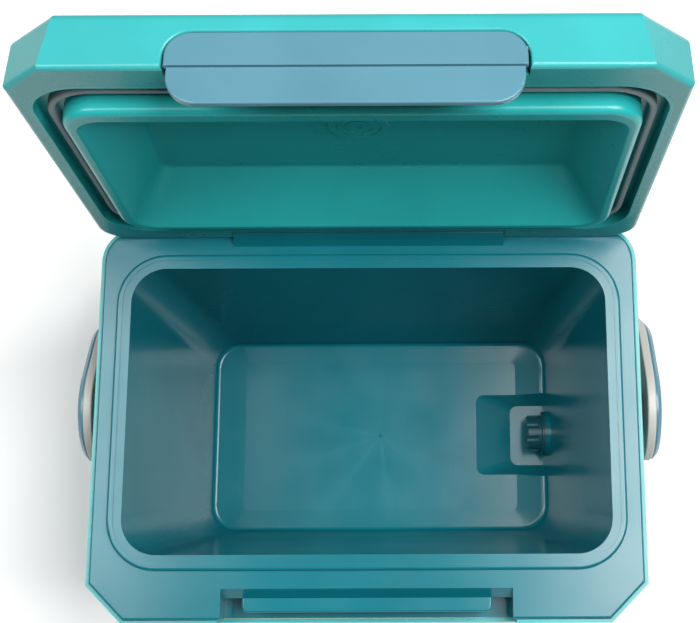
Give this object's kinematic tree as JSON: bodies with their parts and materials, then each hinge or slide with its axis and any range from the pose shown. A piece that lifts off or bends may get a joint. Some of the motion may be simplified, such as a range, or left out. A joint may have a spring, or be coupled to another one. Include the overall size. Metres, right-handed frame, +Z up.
{
  "type": "cooler chest",
  "caption": "Hard-sided foam-filled cooler chest with a hinged lid, snap latch, swing-up carry handle and threaded drain, standing open.",
  "frame": {"origin": "centre of the body's footprint, on the ground plane under the middle foot pad", "axes": "+Z up; the front with the latch faces -Y; +X is the right-hand side seen from the front, where the drain is"},
  "size_m": [0.501, 0.3922, 0.6461],
  "materials": {
    "shell": "satin turquoise polyolefin",
    "liner": "satin blue-teal polyolefin",
    "lid_liner": "satin teal polyolefin",
    "latch": "satin blue-grey polyolefin",
    "arm": "off-white polyolefin",
    "grip": "off-white, fine texture",
    "foam": "rigid polyurethane foam",
    "gasket": "soft grey seal",
    "drain": "dark teal",
    "feet": "matt dark",
    "steel": "stainless"
  },
  "bodies": {
    "chest": {"outer_shell": "shell", "inner_liner": "liner", "body_foam": "foam", "latch_catch": "liner", "catch_screws": "steel", "foot_pads": "feet", "hinge_pins": "steel", "drain_body": "drain", "drain_nut": "drain", "drain_washer": "drain", "drain_gasket": "gasket", "pivot_bushes": "arm", "pivot_screws": "steel", "pivot_anchors": "steel"},
    "lid": {"lid_outer": "shell", "lid_liner": "lid_liner", "lid_foam": "foam", "lid_gasket": "gasket", "lid_fill_plug": "lid_liner", "latch_pins": "steel"},
    "latch": {"latch_lever": "latch"},
    "handle": {"bail_arm_left": "arm", "bail_arm_right": "arm", "arm_cover_left": "latch", "arm_cover_right": "latch", "grip_rod": "steel", "grip_sleeve": "grip"},
    "cap_slider": {"drain_cap_seal": "gasket"},
    "cap": {"drain_cap": "drain"}
  },
  "joints": [
    {"name": "lid_hinge", "type": "hinge", "parent": "chest", "child": "lid", "pos_m": [0, 0.1576, 0.324], "axis": [1, 0, 0], "range_deg": [0, 96.1]},
    {"name": "latch_pivot", "type": "hinge", "parent": "lid", "child": "latch", "pos_m": [0, 0.20216, 0.63271], "axis": [1, 0, 0], "range_deg": [-30, 4.5]},
    {"name": "handle_swing", "type": "hinge", "parent": "chest", "child": "handle", "pos_m": [0, 0.017, 0.242], "axis": [1, 0, 0], "range_deg": [0, 135]},
    {"name": "cap_slide", "type": "slide", "parent": "chest", "child": "cap_slider", "axis": [1, 0, 0], "range_m": [0, 0.0091]},
    {"name": "cap_turn", "type": "hinge", "parent": "cap_slider", "child": "cap", "pos_m": [0.23, 0.0111, 0.0495], "axis": [1, 0, 0], "range_deg": [0, 1080]}
  ],
  "couplings": [
    {"joint": "handle_swing", "follows": "lid_hinge", "ratio": 1.4},
    {"joint": "cap_slide", "follows": "cap_turn", "m_per_rad": 0.00047746}
  ]
}
